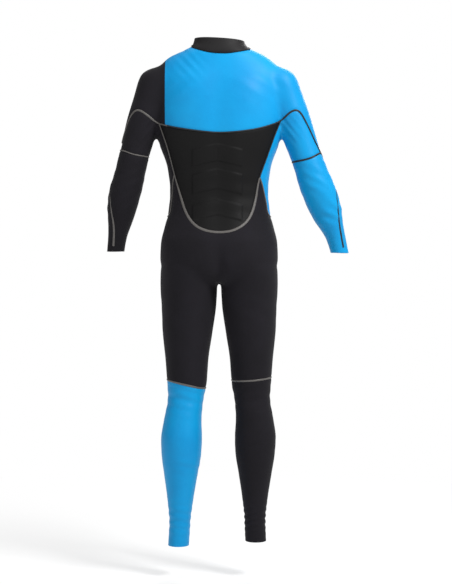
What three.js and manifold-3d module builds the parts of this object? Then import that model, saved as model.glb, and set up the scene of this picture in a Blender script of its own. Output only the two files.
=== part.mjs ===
// Full wetsuit, worn shape: a neoprene shell cut into its sewn panels, with
// welded seam tapes between them, bonded hems, knee pads and a chest zip.
// Millimetres, +Z up, the wearer faces +Y and the wearer's right arm is at +X.
// Heights below are measured from the left ankle hem; the finished group is
// lowered so that the origin lies between the shoulders, at the neck's base.

import * as THREE from "three";
import { mergeVertices } from "three/addons/utils/BufferGeometryUtils.js";
import Module from "manifold-3d";

// ---- driving dimensions ----------------------------------------------------
// Overall sizes: heights go with the wearer's own, widths and depths with the chest.
const wearerHeight = 1780;
const chestGirth = 980;
const tall = wearerHeight / 1780;
const wide = chestGirth / 980;

const wall = 3;                 // neoprene thickness
const gap = 0.3;                // clearance between neighbouring pieces
const seamHalf = 2.5;           // half width of a welded seam tape
const originHeight = 1385 * tall;        // neck base above the ankle hems
const torsoSides = 20;
const armSides = 10;
const legSides = 12;
const torsoPower = 2.3;         // roundness of a torso section, 2 is an ellipse
const limbPower = 2;

const collarTop = 1474 * tall;           // highest edge of the collar
const collarTilt = 3.5;                  // degrees, the collar's edge dips to the right
const collarBase = 1440 * tall;          // where the collar is sewn to the yoke
const collarLean = 8;                    // degrees, the collar's seam runs lower over the nape
const shoulderSeamX = 155 * wide;        // armhole line, left and right of the spine
const shoulderSeamFoot = 1217 * tall;    // where the armhole line meets the yoke line
const shoulderLineY = -12 * wide;        // the yoke and the chest meet along the shoulders
const armpitX = 187 * wide;              // where a sleeve parts from the body
const armpitHeight = 1183 * tall;
const crotchHeight = 748 * tall;         // cut between the hips and the thighs
const thighSplit = 600 * tall;           // cut between the two thigh panels
const kneeBottom = 300 * tall;           // lower end of the bending part of the knee
const elbowBottom = 985 * tall;          // lower end of the bending part of the elbow
const armInnerX = 210 * wide;            // below the armpits, everything beyond is sleeve
const legOuterX = 200 * wide;            // beyond the outside of either leg
const forearmSeamFront = 24 * wide;      // the forearm seam stays behind this depth
const wristHemHeight = 16;
const ankleHemHeight = 18;

const zipRadius = 292 * wide;   // plan radius of the zip, about the chest's curve
const chestFront = 105.5 * wide;         // outer face of the chest at the zip's height
const zipHeight = 1290 * tall;  // middle of the zip
const zipHalfAngle = 17;        // degrees from the middle to each end of the teeth
const zipTapeWidth = 30;
const zipTeethWidth = 6;
const zipTeethProud = 1.6;      // teeth stand proud of the tape
const sliderLength = 16;
const sliderWidth = 12;
const sliderThick = 5;
const pullLength = 34;
const pullWidth = 8;
const pullThick = 2.4;
const pullTail = 0.8;           // how far the pull reaches past its own pivot

const padThick = 1.6;           // knee pad over the knee panel
const padHalfWidth = 44 * wide;
const padBottom = 352 * tall;
const padTop = 452 * tall;
const padRound = 22;            // size of the pad's rounded corners

// ---- sections: height, centre x, centre y, half width, half depth -----------
function sections(rows) {
  return rows.map(([z, x, y, a, b]) => [z * tall, x * wide, y * wide, a * wide, b * wide]);
}

const torsoRows = sections([
  [762, 0, -6, 96, 70], [785, 0, -8, 150, 104], [830, 0, -10, 171, 117],
  [880, 0, -10, 169, 117], [920, 0, -4, 160, 108], [970, 0, 4, 148, 98],
  [1030, 0, 7, 143, 93], [1100, 0, 5, 151, 100], [1170, 0, 2, 175, 109],
  [1235, 0, 0, 187, 113], [1290, 0, -3, 190, 108], [1340, 0, -8, 190, 95],
  [1375, 0, -11, 181, 80], [1400, 0, -14, 158, 70], [1422, 0, -14, 128, 66],
  [1437, 0, -13, 97, 65], [1450, 0, -11, 77, 63], [1482, 0, -7, 66, 59],
]);

const leftArmRows = sections([
  [1386, -172, -12, 26, 30], [1372, -178, -12, 45, 48], [1330, -186, -9, 54, 60],
  [1270, -203, -6, 55, 60], [1205, -226, -6, 50, 55], [1140, -245, -8, 45, 49],
  [1090, -257, -9, 45, 48], [1040, -270, -7, 48, 48], [990, -281, 2, 45, 45],
  [940, -289, 14, 36, 39], [895, -298, 25, 28, 33], [854, -304, 34, 26, 30],
]);

const rightArmRows = sections([
  [1386, 166, -12, 26, 30], [1372, 173, -12, 43, 48], [1330, 182, -9, 53, 60],
  [1270, 202, -6, 55, 60], [1205, 225, -6, 52, 55], [1140, 249, -8, 48, 49],
  [1090, 268, -9, 49, 48], [1040, 286, -7, 53, 48], [990, 304, 2, 51, 45],
  [940, 321, 14, 41, 39], [895, 341, 25, 30, 33], [850, 354, 34, 27, 30],
]);

const legRows = sections([
  [850, 88, -8, 62, 86], [800, 88, -9, 82, 104], [757, 88, -9, 83, 100],
  [700, 88, -6, 80, 92], [620, 92, -3, 73, 82], [540, 94, 0, 63, 71],
  [470, 94, 1, 58, 64], [418, 98, -2, 52, 59], [365, 105, -8, 55, 61],
  [310, 108, -13, 60, 65], [265, 108, -12, 58, 61], [205, 109, -7, 49, 52],
  [122, 110, 0, 37, 42], [60, 111, 2, 31, 38], [0, 114, 2, 31, 38],
]);
const leftLeg = { side: -1, shift: -5 * wide, drop: 5 * tall };
const rightLeg = { side: 1, shift: -7 * wide, drop: -8 * tall };
const lowerLegTop = 470 * tall;  // below this height a leg is shifted and dropped to its hem

// ---- seam lines, seen from behind: x, height ---------------------------------
function seamLine(points) {
  return points.map(([x, z]) => [x * wide, z * tall]);
}

// One line runs over both sleeves and across the body, at the back and the front.
const yokeLine = seamLine([
  [-306, 1100], [-289, 1150], [-268, 1216], [-250, 1252], [-230, 1260], [-199, 1240],
  [-171, 1221], [-99, 1203], [0, 1192], [90, 1200], [148, 1216], [180, 1232],
  [208, 1256], [230, 1257], [252, 1224], [277, 1174], [300, 1130], [318, 1090],
]);
// Shield-shaped back panel, from the left end of the yoke line round to the right.
const shieldLine = seamLine([
  [-174, 1226], [-149, 1152], [-128, 1072], [-112, 1016], [-95, 966], [-71, 932], [0, 909],
  [76, 936], [95, 966], [106, 1006], [116, 1062], [137, 1122], [176, 1228],
]);
// Lower ends of the side panels, at the back, and the side panels' front edges.
const leftSideBack = seamLine([[-127, 1082], [-138, 1000], [-151, 955], [-190, 930]]);
const rightSideBack = seamLine([[118, 1066], [136, 1000], [150, 955], [190, 930]]);
const sideFront = seamLine([
  [173, 1226], [128, 1120], [114, 1030], [128, 975], [151, 955], [190, 930],
]);
const bellyLine = seamLine([[-118, 1004], [-70, 958], [0, 942], [70, 958], [118, 1004]]);
const elbowLines = {
  left: seamLine([[-330, 1156], [-287, 1148], [-240, 1132], [-190, 1126]]),
  right: seamLine([[200, 1112], [255, 1120], [300, 1142], [340, 1156]]),
};
const kneeLines = {
  left: seamLine([[-180, 484], [-150, 480], [-100, 470], [-40, 456], [-20, 452]]),
  right: seamLine([[20, 478], [50, 479], [100, 482], [150, 487], [180, 490]]),
};
const forearmSeamTop = elbowBottom - 8;
const leftCuffTop = leftArmRows.at(-1)[0] + wristHemHeight;
const rightCuffTop = rightArmRows.at(-1)[0] + wristHemHeight;
const forearmLines = {
  left: [[-313 * wide, forearmSeamTop], ...seamLine([[-306, 920]]), [-309 * wide, leftCuffTop + 1]],
  right: [[345 * wide, forearmSeamTop], ...seamLine([[352, 920]]), [361 * wide, rightCuffTop + 1]],
};

// ---- materials -----------------------------------------------------------------
const black = new THREE.MeshStandardMaterial({ color: 0x1c1b20, roughness: 0.85, metalness: 0 });
const blue = new THREE.MeshStandardMaterial({ color: 0x0090e0, roughness: 0.8, metalness: 0 });
const skin = new THREE.MeshStandardMaterial({ color: 0x232226, roughness: 0.6, metalness: 0 });
const tape = new THREE.MeshStandardMaterial({ color: 0x5b5a5c, roughness: 0.55, metalness: 0 });
const darkTape = new THREE.MeshStandardMaterial({ color: 0x1f2226, roughness: 0.55, metalness: 0 });
const zipPlastic = new THREE.MeshStandardMaterial({ color: 0x111114, roughness: 0.4, metalness: 0 });
const padRubber = new THREE.MeshStandardMaterial({ color: 0x17171a, roughness: 0.7, metalness: 0 });

// ---- solids ----------------------------------------------------------------------
const wasm = await Module();
wasm.setup();

function solidOf(geometry) {
  const bare = geometry.clone();
  bare.deleteAttribute("normal");
  bare.deleteAttribute("uv");
  const merged = mergeVertices(bare, 1e-4);
  return new wasm.Manifold(new wasm.Mesh({
    numProp: 3,
    vertProperties: new Float32Array(merged.attributes.position.array),
    triVerts: new Uint32Array(merged.index.array),
  }));
}

function geometryOf(solid) {
  const mesh = solid.getMesh();
  const geometry = new THREE.BufferGeometry();
  geometry.setAttribute("position", new THREE.BufferAttribute(new Float32Array(mesh.vertProperties), 3));
  geometry.setIndex(new THREE.BufferAttribute(new Uint32Array(mesh.triVerts), 1));
  return geometry;
}

function superellipse(angle, power) {
  const c = Math.cos(angle);
  const s = Math.sin(angle);
  return [
    Math.sign(c) * Math.abs(c) ** (2 / power),
    Math.sign(s) * Math.abs(s) ** (2 / power),
  ];
}

// A closed loft through horizontal sections, grown outwards by `grow`.
function loft(rows, sides, power, grow) {
  const ordered = [...rows].sort((p, q) => p[0] - q[0]);
  const positions = [];
  for (const [z, cx, cy, a, b] of ordered) {
    for (let i = 0; i < sides; i += 1) {
      const [u, v] = superellipse((i / sides) * 2 * Math.PI, power);
      positions.push(cx + (a + grow) * u, cy + (b + grow) * v, z);
    }
  }
  const index = [];
  const rings = ordered.length;
  for (let r = 0; r < rings - 1; r += 1) {
    for (let i = 0; i < sides; i += 1) {
      const j = (i + 1) % sides;
      const low = r * sides;
      const high = low + sides;
      index.push(low + i, low + j, high + j, low + i, high + j, high + i);
    }
  }
  const bottom = positions.length / 3;
  positions.push(ordered[0][1], ordered[0][2], ordered[0][0]);
  const top = bottom + 1;
  const last = ordered[rings - 1];
  positions.push(last[1], last[2], last[0]);
  for (let i = 0; i < sides; i += 1) {
    const j = (i + 1) % sides;
    const high = (rings - 1) * sides;
    index.push(bottom, j, i, top, high + i, high + j);
  }
  const geometry = new THREE.BufferGeometry();
  geometry.setAttribute("position", new THREE.Float32BufferAttribute(positions, 3));
  geometry.setIndex(index);
  return solidOf(geometry);
}

function box(x0, x1, y0, y1, z0, z1) {
  const geometry = new THREE.BoxGeometry(x1 - x0, y1 - y0, z1 - z0);
  geometry.translate((x0 + x1) / 2, (y0 + y1) / 2, (z0 + z1) / 2);
  return solidOf(geometry);
}

// A line in the x-height plane, widened to both sides and run from y0 to y1.
function ribbon(points, half, y0, y1, steps = 2) {
  const curve = new THREE.CatmullRomCurve3(
    points.map(([x, z]) => new THREE.Vector3(x, z, 0)), false, "centripetal");
  const samples = curve.getPoints((points.length - 1) * steps);
  const left = [];
  const right = [];
  samples.forEach((point, i) => {
    const before = samples[Math.max(i - 1, 0)];
    const after = samples[Math.min(i + 1, samples.length - 1)];
    const tangent = after.clone().sub(before).normalize();
    left.push(new THREE.Vector2(point.x - tangent.y * half, point.y + tangent.x * half));
    right.push(new THREE.Vector2(point.x + tangent.y * half, point.y - tangent.x * half));
  });
  const shape = new THREE.Shape([...left, ...right.reverse()]);
  const geometry = new THREE.ExtrudeGeometry(shape, { depth: y1 - y0, bevelEnabled: false });
  geometry.rotateX(Math.PI / 2);
  geometry.translate(0, y1, 0);
  return solidOf(geometry);
}

// ---- the whole neoprene shell ---------------------------------------------------
const far = 400;                 // beyond every face of the suit

function legSections({ side, shift, drop }) {
  const hem = legRows[legRows.length - 1][0];
  return legRows.map(([z, x, y, a, b]) => {
    const share = Math.max((lowerLegTop - z) / (lowerLegTop - hem), 0);
    return [z - drop * share, side * x + shift * share, y, a, b];
  });
}

// The space inside: it runs on past an open end and stops short of a closed one.
function insideRows(rows, openEnd) {
  const ordered = [...rows].sort((p, q) => q[0] - p[0]);
  const top = ordered[0];
  const bottom = ordered[ordered.length - 1];
  const overrun = 10;
  if (openEnd === "top") {
    const raised = [bottom[0] + wall, ...bottom.slice(1)];
    return [[top[0] + overrun, ...top.slice(1)], ...ordered.slice(0, -1), raised];
  }
  const lowered = [top[0] - wall, ...top.slice(1)];
  return [lowered, ...ordered.slice(1), [bottom[0] - overrun, ...bottom.slice(1)]];
}

const leftLegRows = legSections(leftLeg);
const rightLegRows = legSections(rightLeg);
const outer = loft(torsoRows, torsoSides, torsoPower, 0)
  .add(loft(leftArmRows, armSides, limbPower, 0))
  .add(loft(rightArmRows, armSides, limbPower, 0))
  .add(loft(leftLegRows, legSides, limbPower, 0))
  .add(loft(rightLegRows, legSides, limbPower, 0));
const inner = loft(insideRows(torsoRows, "top"), torsoSides, torsoPower, -wall)
  .add(loft(insideRows(leftArmRows, "bottom"), armSides, limbPower, -wall))
  .add(loft(insideRows(rightArmRows, "bottom"), armSides, limbPower, -wall))
  .add(loft(insideRows(leftLegRows, "bottom"), legSides, limbPower, -wall))
  .add(loft(insideRows(rightLegRows, "bottom"), legSides, limbPower, -wall));

const collarMiddle = collarTop - 4;      // the tilted edge's height over the spine
const aboveCollar = new THREE.BoxGeometry(far, far, far);
aboveCollar.translate(0, 0, far / 2);
aboveCollar.rotateY(THREE.MathUtils.degToRad(collarTilt));
aboveCollar.translate(0, 0, collarMiddle);
const shell = outer.subtract(inner).subtract(solidOf(aboveCollar));

// ---- seams, each cut out of the shell -------------------------------------------
const sideOf = { left: -1, right: 1 };
const seams = [];                // each seam's name, and the solid that holds its tape
let taken = null;                // everything that earlier seams and their gaps hold

function addSeam(name, build) {
  const own = taken ? build(seamHalf).subtract(taken) : build(seamHalf);
  seams.push({ name, solid: own });
  const grown = build(seamHalf + gap);
  taken = taken ? taken.add(grown) : grown;
}

function addCut(cutter) {
  taken = taken ? taken.add(cutter) : cutter;
}

// blind joins, glued edge to edge with no tape
for (const side of Object.values(sideOf)) {
  const x = side * armpitX;
  addCut(box(x - gap / 2, x + gap / 2, -far, far, armpitHeight - 60, armpitHeight + 117));
}
addCut(box(-far, far, -far, far, crotchHeight - gap / 2, crotchHeight + gap / 2));

addSeam("yoke_line", (half) => ribbon(yokeLine, half, -far, far));
addSeam("collar_seam", (half) => {
  const slab = new THREE.BoxGeometry(2 * far, 2 * far, 2 * half);
  slab.rotateX(THREE.MathUtils.degToRad(collarLean));
  slab.translate(0, shoulderLineY, collarBase);
  return solidOf(slab);
});
addSeam("back_panel_seam", (half) => ribbon(shieldLine, half, -far, 0));
for (const [name, side] of Object.entries(sideOf)) {
  const back = side < 0 ? leftSideBack : rightSideBack;
  const front = sideFront.map(([x, z]) => [side * x, z]);
  addSeam(`${name}_side_seam`, (half) => ribbon(back, half, -far, 1).add(ribbon(front, half, 0, far)));
}
addSeam("belly_seam", (half) => ribbon(bellyLine, half, 0, far));
for (const name of Object.keys(sideOf)) {
  addSeam(`${name}_elbow_seam`, (half) => ribbon(elbowLines[name], half, -far, far));
  addSeam(`${name}_knee_seam`, (half) => ribbon(kneeLines[name], half, -far, far));
}

function limbCut(side, fromX, toX, height) {
  const x0 = side < 0 ? -toX : fromX;
  const x1 = side < 0 ? -fromX : toX;
  return box(x0, x1, -far, far, height - gap / 2, height + gap / 2);
}
for (const [name, side] of Object.entries(sideOf)) {
  const legEnd = (side < 0 ? leftLegRows : rightLegRows).at(-1)[0];
  addCut(limbCut(side, armInnerX, far, elbowBottom));
  addCut(limbCut(side, armInnerX, far, side < 0 ? leftCuffTop : rightCuffTop));
  addCut(limbCut(side, 0, legOuterX, thighSplit));
  addCut(limbCut(side, 0, legOuterX, kneeBottom));
  addCut(limbCut(side, 0, legOuterX, legEnd + ankleHemHeight));
  addSeam(`${name}_forearm_seam`, (half) => ribbon(forearmLines[name], half, -far, forearmSeamFront));
  const x = side * shoulderSeamX;
  addCut(box(x - gap / 2, x + gap / 2, -far, far, shoulderSeamFoot, collarBase));
}
addCut(box(-shoulderSeamX, shoulderSeamX, shoulderLineY - gap / 2, shoulderLineY + gap / 2,
  zipHeight + 60, collarBase));

// ---- names for the pieces ----------------------------------------------------------
const group = new THREE.Group();
group.position.set(0, 0, -originHeight);

function addMesh(name, geometry, material) {
  const mesh = new THREE.Mesh(geometry, material);
  mesh.name = name;
  group.add(mesh);
}

function centreOf(solid) {
  const { min, max } = solid.boundingBox();
  return min.map((low, i) => (low + max[i]) / 2);
}

// Crumbs left where two seam lines meet at a shallow angle are thrown away.
const crumb = 400;
const pieces = shell.subtract(taken).decompose().filter((piece) => piece.volume() > crumb);

// A piece is known by the middle, foot and head of its box, on a suit of the sizes above.
function pickName(solid) {
  const { min, max } = solid.boundingBox();
  const x = (min[0] + max[0]) / 2 / wide;
  const fromMiddle = Math.abs(x);
  const facesBack = min[1] + max[1] < 0;
  const low = min[2] / tall;
  const high = max[2] / tall;
  const side = x < 0 ? "left" : "right";
  const isSleeve = fromMiddle > armpitX / wide;
  const sleeveColour = side === "left" ? black : blue;
  const calfColour = side === "left" ? blue : black;
  if (fromMiddle < 30) {
    if (low > 1400) return ["collar", skin];
    if (low > 1150) return facesBack ? ["yoke_panel", blue] : ["chest_panel", skin];
    if (low > 900) return facesBack ? ["back_panel", skin] : ["belly_panel", black];
    return ["hip_panel", black];
  }
  if (high > 1300) return [`${side}_shoulder_panel`, sleeveColour];
  if (!isSleeve && low > 900) return [`${side}_side_panel`, sleeveColour];
  if (isSleeve) {
    if (low > 1090) return [`${side}_upper_sleeve`, sleeveColour];
    if (low > 950) return [`${side}_elbow_panel`, sleeveColour];
    if (high > 900) return [`${side}_forearm_panel`, sleeveColour];
    return [`${side}_wrist_hem`, sleeveColour];
  }
  if (high > 700) return [`${side}_upper_thigh_panel`, black];
  if (high > 560) return [`${side}_lower_thigh_panel`, black];
  if (high > 350) return [`${side}_knee_panel`, calfColour];
  if (high > 100) return [`${side}_calf_panel`, calfColour];
  return [`${side}_ankle_hem`, calfColour];
}

// ---- chest zip -------------------------------------------------------------------------
// The zip curves round the chest: an arc about an upright axis behind the breastbone.
const zipAxisY = chestFront - zipRadius;

function arcBand(inside, outside, halfAngle, low, high) {
  const shape = new THREE.Shape();
  const middle = Math.PI / 2;
  const reach = THREE.MathUtils.degToRad(halfAngle);
  shape.absarc(0, 0, outside, middle - reach, middle + reach, false);
  shape.absarc(0, 0, inside, middle + reach, middle - reach, true);
  const depth = high - low;
  const geometry = new THREE.ExtrudeGeometry(shape, { depth, bevelEnabled: false, curveSegments: 10 });
  geometry.translate(0, zipAxisY, low);
  return geometry;
}

const tapeAngle = zipHalfAngle + 3;
const windowAngle = tapeAngle + THREE.MathUtils.radToDeg(gap / zipRadius);
const zipWindow = solidOf(arcBand(zipRadius - 60, zipRadius + 40, windowAngle,
  zipHeight - zipTapeWidth / 2 - gap, zipHeight + zipTapeWidth / 2 + gap));

for (const piece of pieces) {
  const [name, material] = pickName(piece);
  const solid = name === "chest_panel" ? piece.subtract(zipWindow) : piece;
  addMesh(name, geometryOf(solid), material);
}

// The yoke line's tape is parted where each sleeve meets the body, and so are its names.
function seamName(name, solid) {
  if (name !== "yoke_line") return name;
  const [x, y] = centreOf(solid);
  if (Math.abs(x) > armpitX / 2) return x < 0 ? "left_sleeve_seam" : "right_sleeve_seam";
  return y < 0 ? "yoke_seam" : "chest_seam";
}
const onBlue = ["yoke_seam", "right_sleeve_seam", "right_elbow_seam", "right_forearm_seam"];
const sleeveEnds = wasm.Manifold.union(Object.values(sideOf).map((side) => box(
  side * armpitX - gap / 2, side * armpitX + gap / 2, -far, far,
  armpitHeight - 83, armpitHeight + 117)));
for (const { name, solid } of seams) {
  const parts = shell.intersect(solid).subtract(sleeveEnds).decompose();
  for (const part of parts.filter((piece) => piece.volume() > crumb / 4)) {
    const ownName = seamName(name, part);
    addMesh(ownName, geometryOf(part), onBlue.includes(ownName) ? darkTape : tape);
  }
}

const teethFace = zipRadius + zipTeethProud;
addMesh("zip_tape", arcBand(zipRadius - wall, zipRadius - gap, tapeAngle,
  zipHeight - zipTapeWidth / 2, zipHeight + zipTapeWidth / 2), zipPlastic);
addMesh("zip_teeth", arcBand(zipRadius, teethFace, zipHalfAngle,
  zipHeight - zipTeethWidth / 2, zipHeight + zipTeethWidth / 2), zipPlastic);

function onZip(geometry, degrees, radius) {
  geometry.translate(0, radius, 0);
  geometry.rotateZ(THREE.MathUtils.degToRad(degrees));
  geometry.translate(0, zipAxisY, 0);
  return geometry;
}
const stopAngle = zipHalfAngle + 1.2;
const stopLength = 4;
const stops = [-stopAngle, stopAngle].map((angle) => {
  const stop = new THREE.BoxGeometry(stopLength, zipTeethProud + 1, zipTeethWidth + 3);
  stop.translate(0, 0, zipHeight);
  return onZip(stop, angle, zipRadius + (zipTeethProud + 1) / 2);
});
stops.forEach((stop, i) => addMesh(i ? "zip_left_stop" : "zip_right_stop", stop, zipPlastic));

const sliderRest = -zipHalfAngle + 3.4;      // closed, at the right end of the teeth
const sliderBack = teethFace + gap;
const slider = new THREE.BoxGeometry(sliderLength, sliderThick, sliderWidth);
slider.translate(0, 0, zipHeight);
addMesh("zip_slider", onZip(slider, sliderRest, sliderBack + sliderThick / 2), zipPlastic);
// The pull lies along the zip, towards the middle, and turns about an upright pin.
const pullRadius = sliderBack + sliderThick + gap + pullThick / 2;
const pull = new THREE.BoxGeometry(pullLength, pullThick, pullWidth);
pull.translate(pullTail - pullLength / 2, 0, zipHeight);
addMesh("zip_pull", onZip(pull, sliderRest, pullRadius), padRubber);

// ---- knee pads -----------------------------------------------------------------------
function kneePad(name, rows) {
  const middle = rows.find(([z]) => z < padTop);
  const bed = loft(rows, legSides, limbPower, gap);
  const cover = loft(rows, legSides, limbPower, gap + padThick).subtract(bed);
  const outline = new THREE.Shape();
  const centre = middle[1];
  outline.moveTo(centre - padHalfWidth + padRound, padBottom);
  outline.lineTo(centre + padHalfWidth - padRound, padBottom);
  outline.quadraticCurveTo(centre + padHalfWidth, padBottom, centre + padHalfWidth, padBottom + padRound);
  outline.lineTo(centre + padHalfWidth, padTop - padRound);
  outline.quadraticCurveTo(centre + padHalfWidth, padTop, centre + padHalfWidth - padRound, padTop);
  outline.lineTo(centre - padHalfWidth + padRound, padTop);
  outline.quadraticCurveTo(centre - padHalfWidth, padTop, centre - padHalfWidth, padTop - padRound);
  outline.lineTo(centre - padHalfWidth, padBottom + padRound);
  outline.quadraticCurveTo(centre - padHalfWidth, padBottom, centre - padHalfWidth + padRound, padBottom);
  const prism = new THREE.ExtrudeGeometry(outline, { depth: far, bevelEnabled: false, curveSegments: 4 });
  prism.rotateX(Math.PI / 2);
  prism.translate(0, far, 0);
  addMesh(name, geometryOf(cover.intersect(solidOf(prism))), padRubber);
}
kneePad("left_knee_pad", leftLegRows);
kneePad("right_knee_pad", rightLegRows);

export default group;
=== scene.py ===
"""Full wetsuit: neoprene panels cut from one smooth skin, with tapes, a chest zip and knee pads."""
import math

import bpy
import numpy as np
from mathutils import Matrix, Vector

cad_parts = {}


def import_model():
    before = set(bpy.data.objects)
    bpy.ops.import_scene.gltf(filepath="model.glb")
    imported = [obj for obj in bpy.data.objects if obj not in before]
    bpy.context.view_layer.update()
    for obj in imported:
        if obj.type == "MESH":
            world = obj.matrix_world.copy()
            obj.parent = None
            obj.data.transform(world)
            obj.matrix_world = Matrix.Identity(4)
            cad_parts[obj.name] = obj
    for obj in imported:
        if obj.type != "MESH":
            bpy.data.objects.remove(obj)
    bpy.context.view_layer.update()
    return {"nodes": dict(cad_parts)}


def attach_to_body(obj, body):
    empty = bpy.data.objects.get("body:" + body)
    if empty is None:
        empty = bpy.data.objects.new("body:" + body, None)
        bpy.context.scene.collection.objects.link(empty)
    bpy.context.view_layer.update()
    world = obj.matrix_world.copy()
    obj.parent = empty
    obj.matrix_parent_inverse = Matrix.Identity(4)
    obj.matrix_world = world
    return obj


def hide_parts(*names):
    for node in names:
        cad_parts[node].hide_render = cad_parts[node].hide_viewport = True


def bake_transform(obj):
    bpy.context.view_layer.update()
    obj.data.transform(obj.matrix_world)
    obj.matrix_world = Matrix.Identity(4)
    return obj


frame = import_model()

# ---- driving sizes, metres; heights are above the left ankle hem -----------------
MM = 0.001
ORIGIN = 1.385                  # the frame's origin lies this far above the ankle hem
WALL = 0.003
VOXEL = 0.0042
SHOULDER_X = 0.155
ARMPIT_X = 0.187
COLLAR_TOP = 1.466
COLLAR_TILT = math.radians(3.5)
COLLAR_BASE = 1.440
COLLAR_LEAN = math.tan(math.radians(8))
COLLAR_RISE = 0.009
COLLAR_SLANT = 0.045
SIDE_Y = -0.012                 # the depth at which the neck and shoulders turn from back to front
CROTCH = 0.748
THIGH_SPLIT = 0.600
WRIST_HEM = 0.016
ANKLE_HEM = 0.018
TAPE_HALF = 0.0026
SHORTEST_SEAM = 0.03
PAD_X = 0.098                   # a knee pad's middle, from the body's middle line
ZIP_Z = 1.290
ZIP_RADIUS = 0.292              # the zip's arc, seen from above
ZIP_AXIS_Y = 0.1055 - ZIP_RADIUS
ZIP_HALF_ANGLE = math.radians(17)
ZIP_WINDOW_X = 0.0998
ZIP_WINDOW_HALF = 0.0153
TEETH_PROUD = 0.0016
PAD_LOW, PAD_HIGH = 0.352, 0.452
PAD_HALF = 0.044
PAD_CORNER = 0.022

# ---- sections, millimetres: height, centre x, centre y, half width, half depth ----
TORSO = [
    (762, 0, -6, 96, 70), (785, 0, -8, 150, 104), (830, 0, -10, 171, 117),
    (880, 0, -10, 169, 117), (920, 0, -4, 160, 108), (970, 0, 4, 148, 98),
    (1030, 0, 7, 143, 93), (1100, 0, 5, 151, 100), (1170, 0, 2, 175, 109),
    (1235, 0, 0, 187, 113), (1290, 0, -3, 190, 108), (1340, 0, -8, 190, 95),
    (1375, 0, -11, 181, 80), (1400, 0, -14, 158, 70), (1422, 0, -14, 128, 66),
    (1437, 0, -13, 97, 65), (1450, 0, -11, 77, 63), (1500, 0, -7, 66, 59),
]
LEFT_ARM = [
    (1386, -172, -12, 26, 30), (1372, -178, -12, 45, 48), (1330, -186, -9, 54, 60),
    (1270, -203, -6, 55, 60), (1205, -226, -6, 50, 55), (1140, -245, -8, 45, 49),
    (1090, -257, -9, 45, 48), (1040, -270, -7, 48, 48), (990, -281, 2, 45, 45),
    (940, -289, 14, 36, 39), (895, -298, 25, 28, 33), (854, -304, 34, 26, 30),
    (830, -307, 39, 26, 30),
]
RIGHT_ARM = [
    (1386, 166, -12, 26, 30), (1372, 173, -12, 43, 48), (1330, 182, -9, 53, 60),
    (1270, 202, -6, 55, 60), (1205, 225, -6, 52, 55), (1140, 249, -8, 48, 49),
    (1090, 268, -9, 49, 48), (1040, 286, -7, 53, 48), (990, 304, 2, 51, 45),
    (940, 321, 14, 41, 39), (895, 341, 25, 30, 33), (850, 354, 34, 27, 30),
    (826, 361, 39, 27, 30),
]
LEG = [
    (850, 88, -8, 62, 86), (800, 88, -9, 82, 104), (757, 88, -9, 83, 100),
    (700, 88, -6, 80, 92), (620, 92, -3, 73, 82), (540, 94, 0, 63, 71),
    (470, 94, 1, 58, 64), (418, 98, -2, 52, 59), (365, 105, -8, 55, 61),
    (310, 108, -13, 60, 65), (265, 108, -12, 58, 61), (205, 109, -7, 49, 52),
    (122, 110, 0, 37, 42), (60, 111, 2, 31, 38), (0, 114, 2, 31, 38),
    (-24, 115, 2, 32, 39),
]
LEG_SHIFT = {"left": (-5, 5), "right": (-7, -8)}      # sideways and downward at the hem, 0 at the knee
KNEE_HEIGHT = 470                                     # millimetres
WRIST_END = {"left": 0.854, "right": 0.850}
ANKLE_END = {"left": -0.005, "right": 0.008}
SIDES = {"left": -1, "right": 1}

# ---- seam lines in the x-height plane, millimetres, seen from behind ---------------
YOKE_LINE = [
    (-330, 1060), (-306, 1100), (-289, 1150), (-268, 1216), (-250, 1252), (-230, 1260),
    (-199, 1240), (-171, 1221), (-99, 1203), (0, 1192), (90, 1200), (148, 1216),
    (180, 1232), (208, 1256), (230, 1257), (252, 1224), (277, 1174), (300, 1130), (330, 1070),
]
SHIELD_LINE = [
    (-184, 1270), (-174, 1226), (-149, 1152), (-128, 1072), (-112, 1016), (-95, 966), (-71, 932),
    (-40, 915), (0, 909), (42, 915), (76, 936), (95, 966), (106, 1006), (116, 1062), (137, 1122),
    (160, 1186), (176, 1228), (186, 1270),
]
SIDE_BACK = {
    "left": [(-70, 1165), (-127, 1082), (-138, 1000), (-151, 955), (-230, 915)],
    "right": [(70, 1145), (118, 1066), (136, 1000), (150, 955), (230, 915)],
}
SIDE_FRONT = [(184, 1270), (173, 1226), (128, 1120), (114, 1030), (128, 975), (151, 955), (230, 915)]
BELLY_LINE = [(-190, 1075), (-118, 1004), (-70, 958), (0, 942), (70, 958), (118, 1004), (190, 1075)]
ELBOW_LINE = {
    "left": [(-360, 1160), (-287, 1148), (-240, 1132), (-170, 1124)],
    "right": [(180, 1108), (255, 1120), (300, 1142), (370, 1166)],
}
KNEE_LINE = {
    "left": [(-220, 490), (-150, 480), (-100, 470), (-40, 456), (10, 450)],
    "right": [(-10, 477), (50, 479), (100, 482), (150, 487), (220, 494)],
}
FOREARM_LINE = {
    "left": [(-318, 1040), (-313, 977), (-306, 920), (-311, 840)],
    "right": [(338, 1040), (345, 977), (352, 920), (369, 836)],
}


# ---- camera, light and floor ---------------------------------------------------------
BACKDROP = 1.0


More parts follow.
